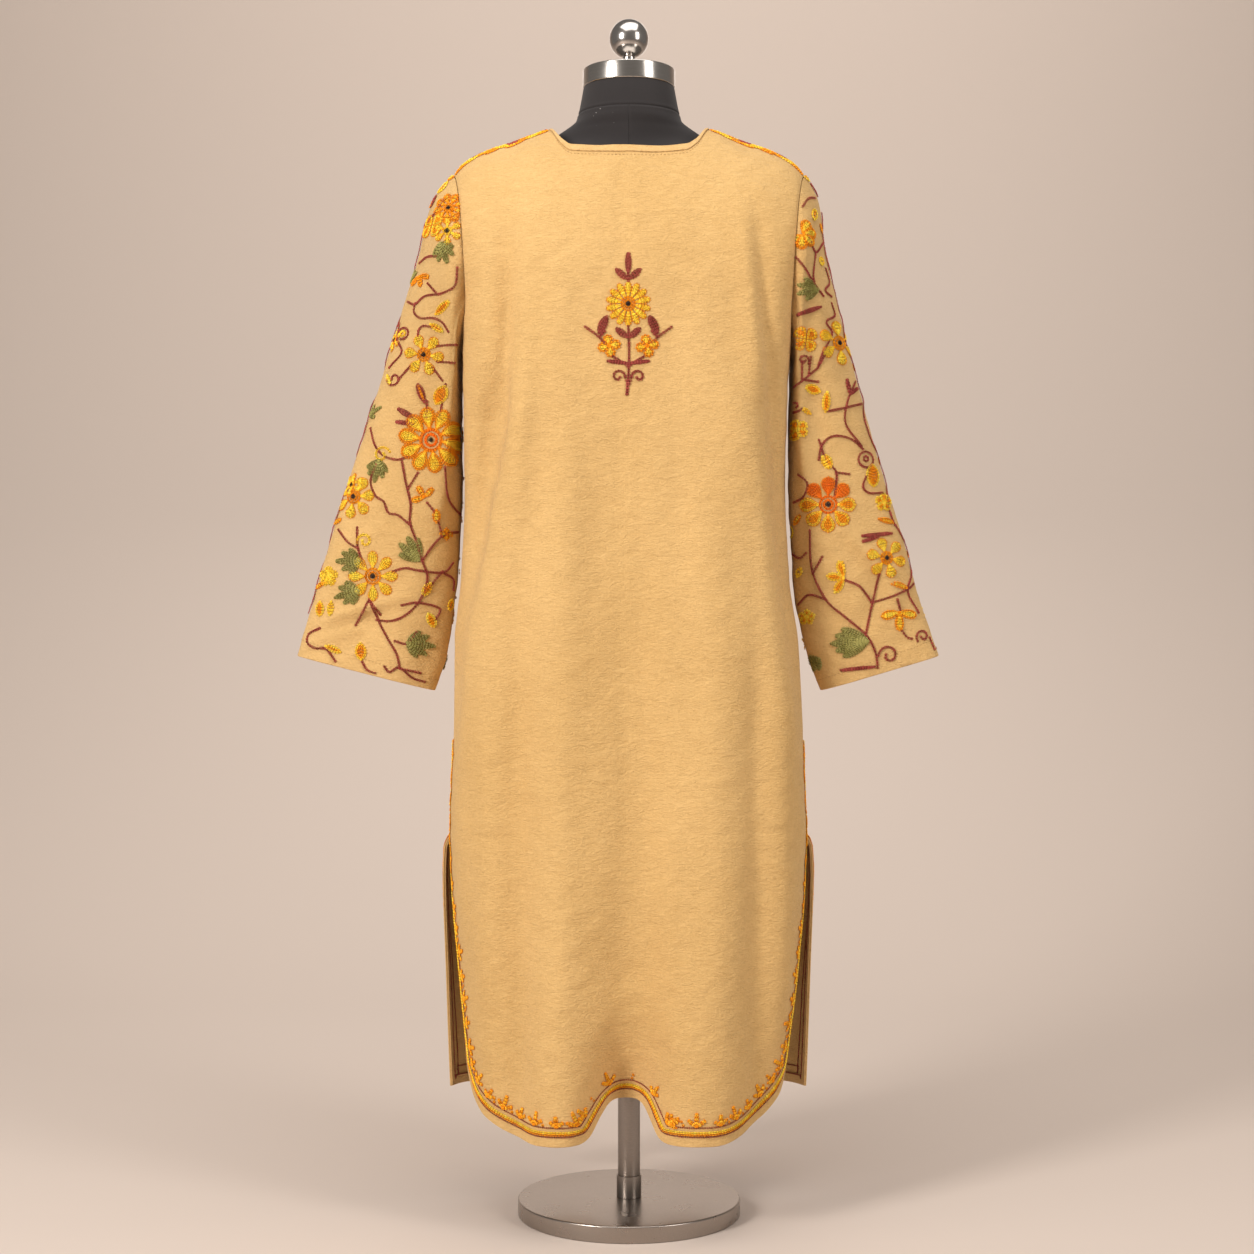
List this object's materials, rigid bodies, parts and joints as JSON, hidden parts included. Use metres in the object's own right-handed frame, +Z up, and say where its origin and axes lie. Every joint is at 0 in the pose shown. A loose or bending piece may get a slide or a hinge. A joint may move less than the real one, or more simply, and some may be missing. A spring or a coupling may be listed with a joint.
{
  "type": "pheran on a dress form stand",
  "caption": "Long straight woollen pheran with wide sleeves, open side slits and embroidery, hanging on a limbless dress form with a round base.",
  "frame": {"origin": "centre of the stand's underside, on the floor", "axes": "+Z up, -Y towards the garment's front, +X towards the wearer's left"},
  "size_m": [0.81, 0.3013, 1.5078],
  "materials": {
    "wool": "napped plain weave",
    "maroon_thread": "wool chain stitch",
    "yellow_thread": "wool chain stitch",
    "orange_thread": "wool chain stitch",
    "green_thread": "wool chain stitch",
    "dark_thread": "wool chain stitch",
    "sewing_thread": "cotton sewing thread",
    "form_cover": "tight jersey",
    "steel": "brushed",
    "polished_steel": "polished"
  },
  "bodies": {
    "root": {"back_panel": "wool", "back_neck_band": "wool", "back_hem_turn_up": "wool", "front_panel": "wool", "front_neck_band": "wool", "front_hem_turn_up": "wool", "left_sleeve": "wool", "left_cuff_turn_up": "wool", "right_sleeve": "wool", "right_cuff_turn_up": "wool", "form_torso": "form_cover", "neck_cap": "steel", "ball_finial": "polished_steel", "pole": "steel", "pole_socket": "steel", "base_plate": "steel"}
  },
  "joints": []
}
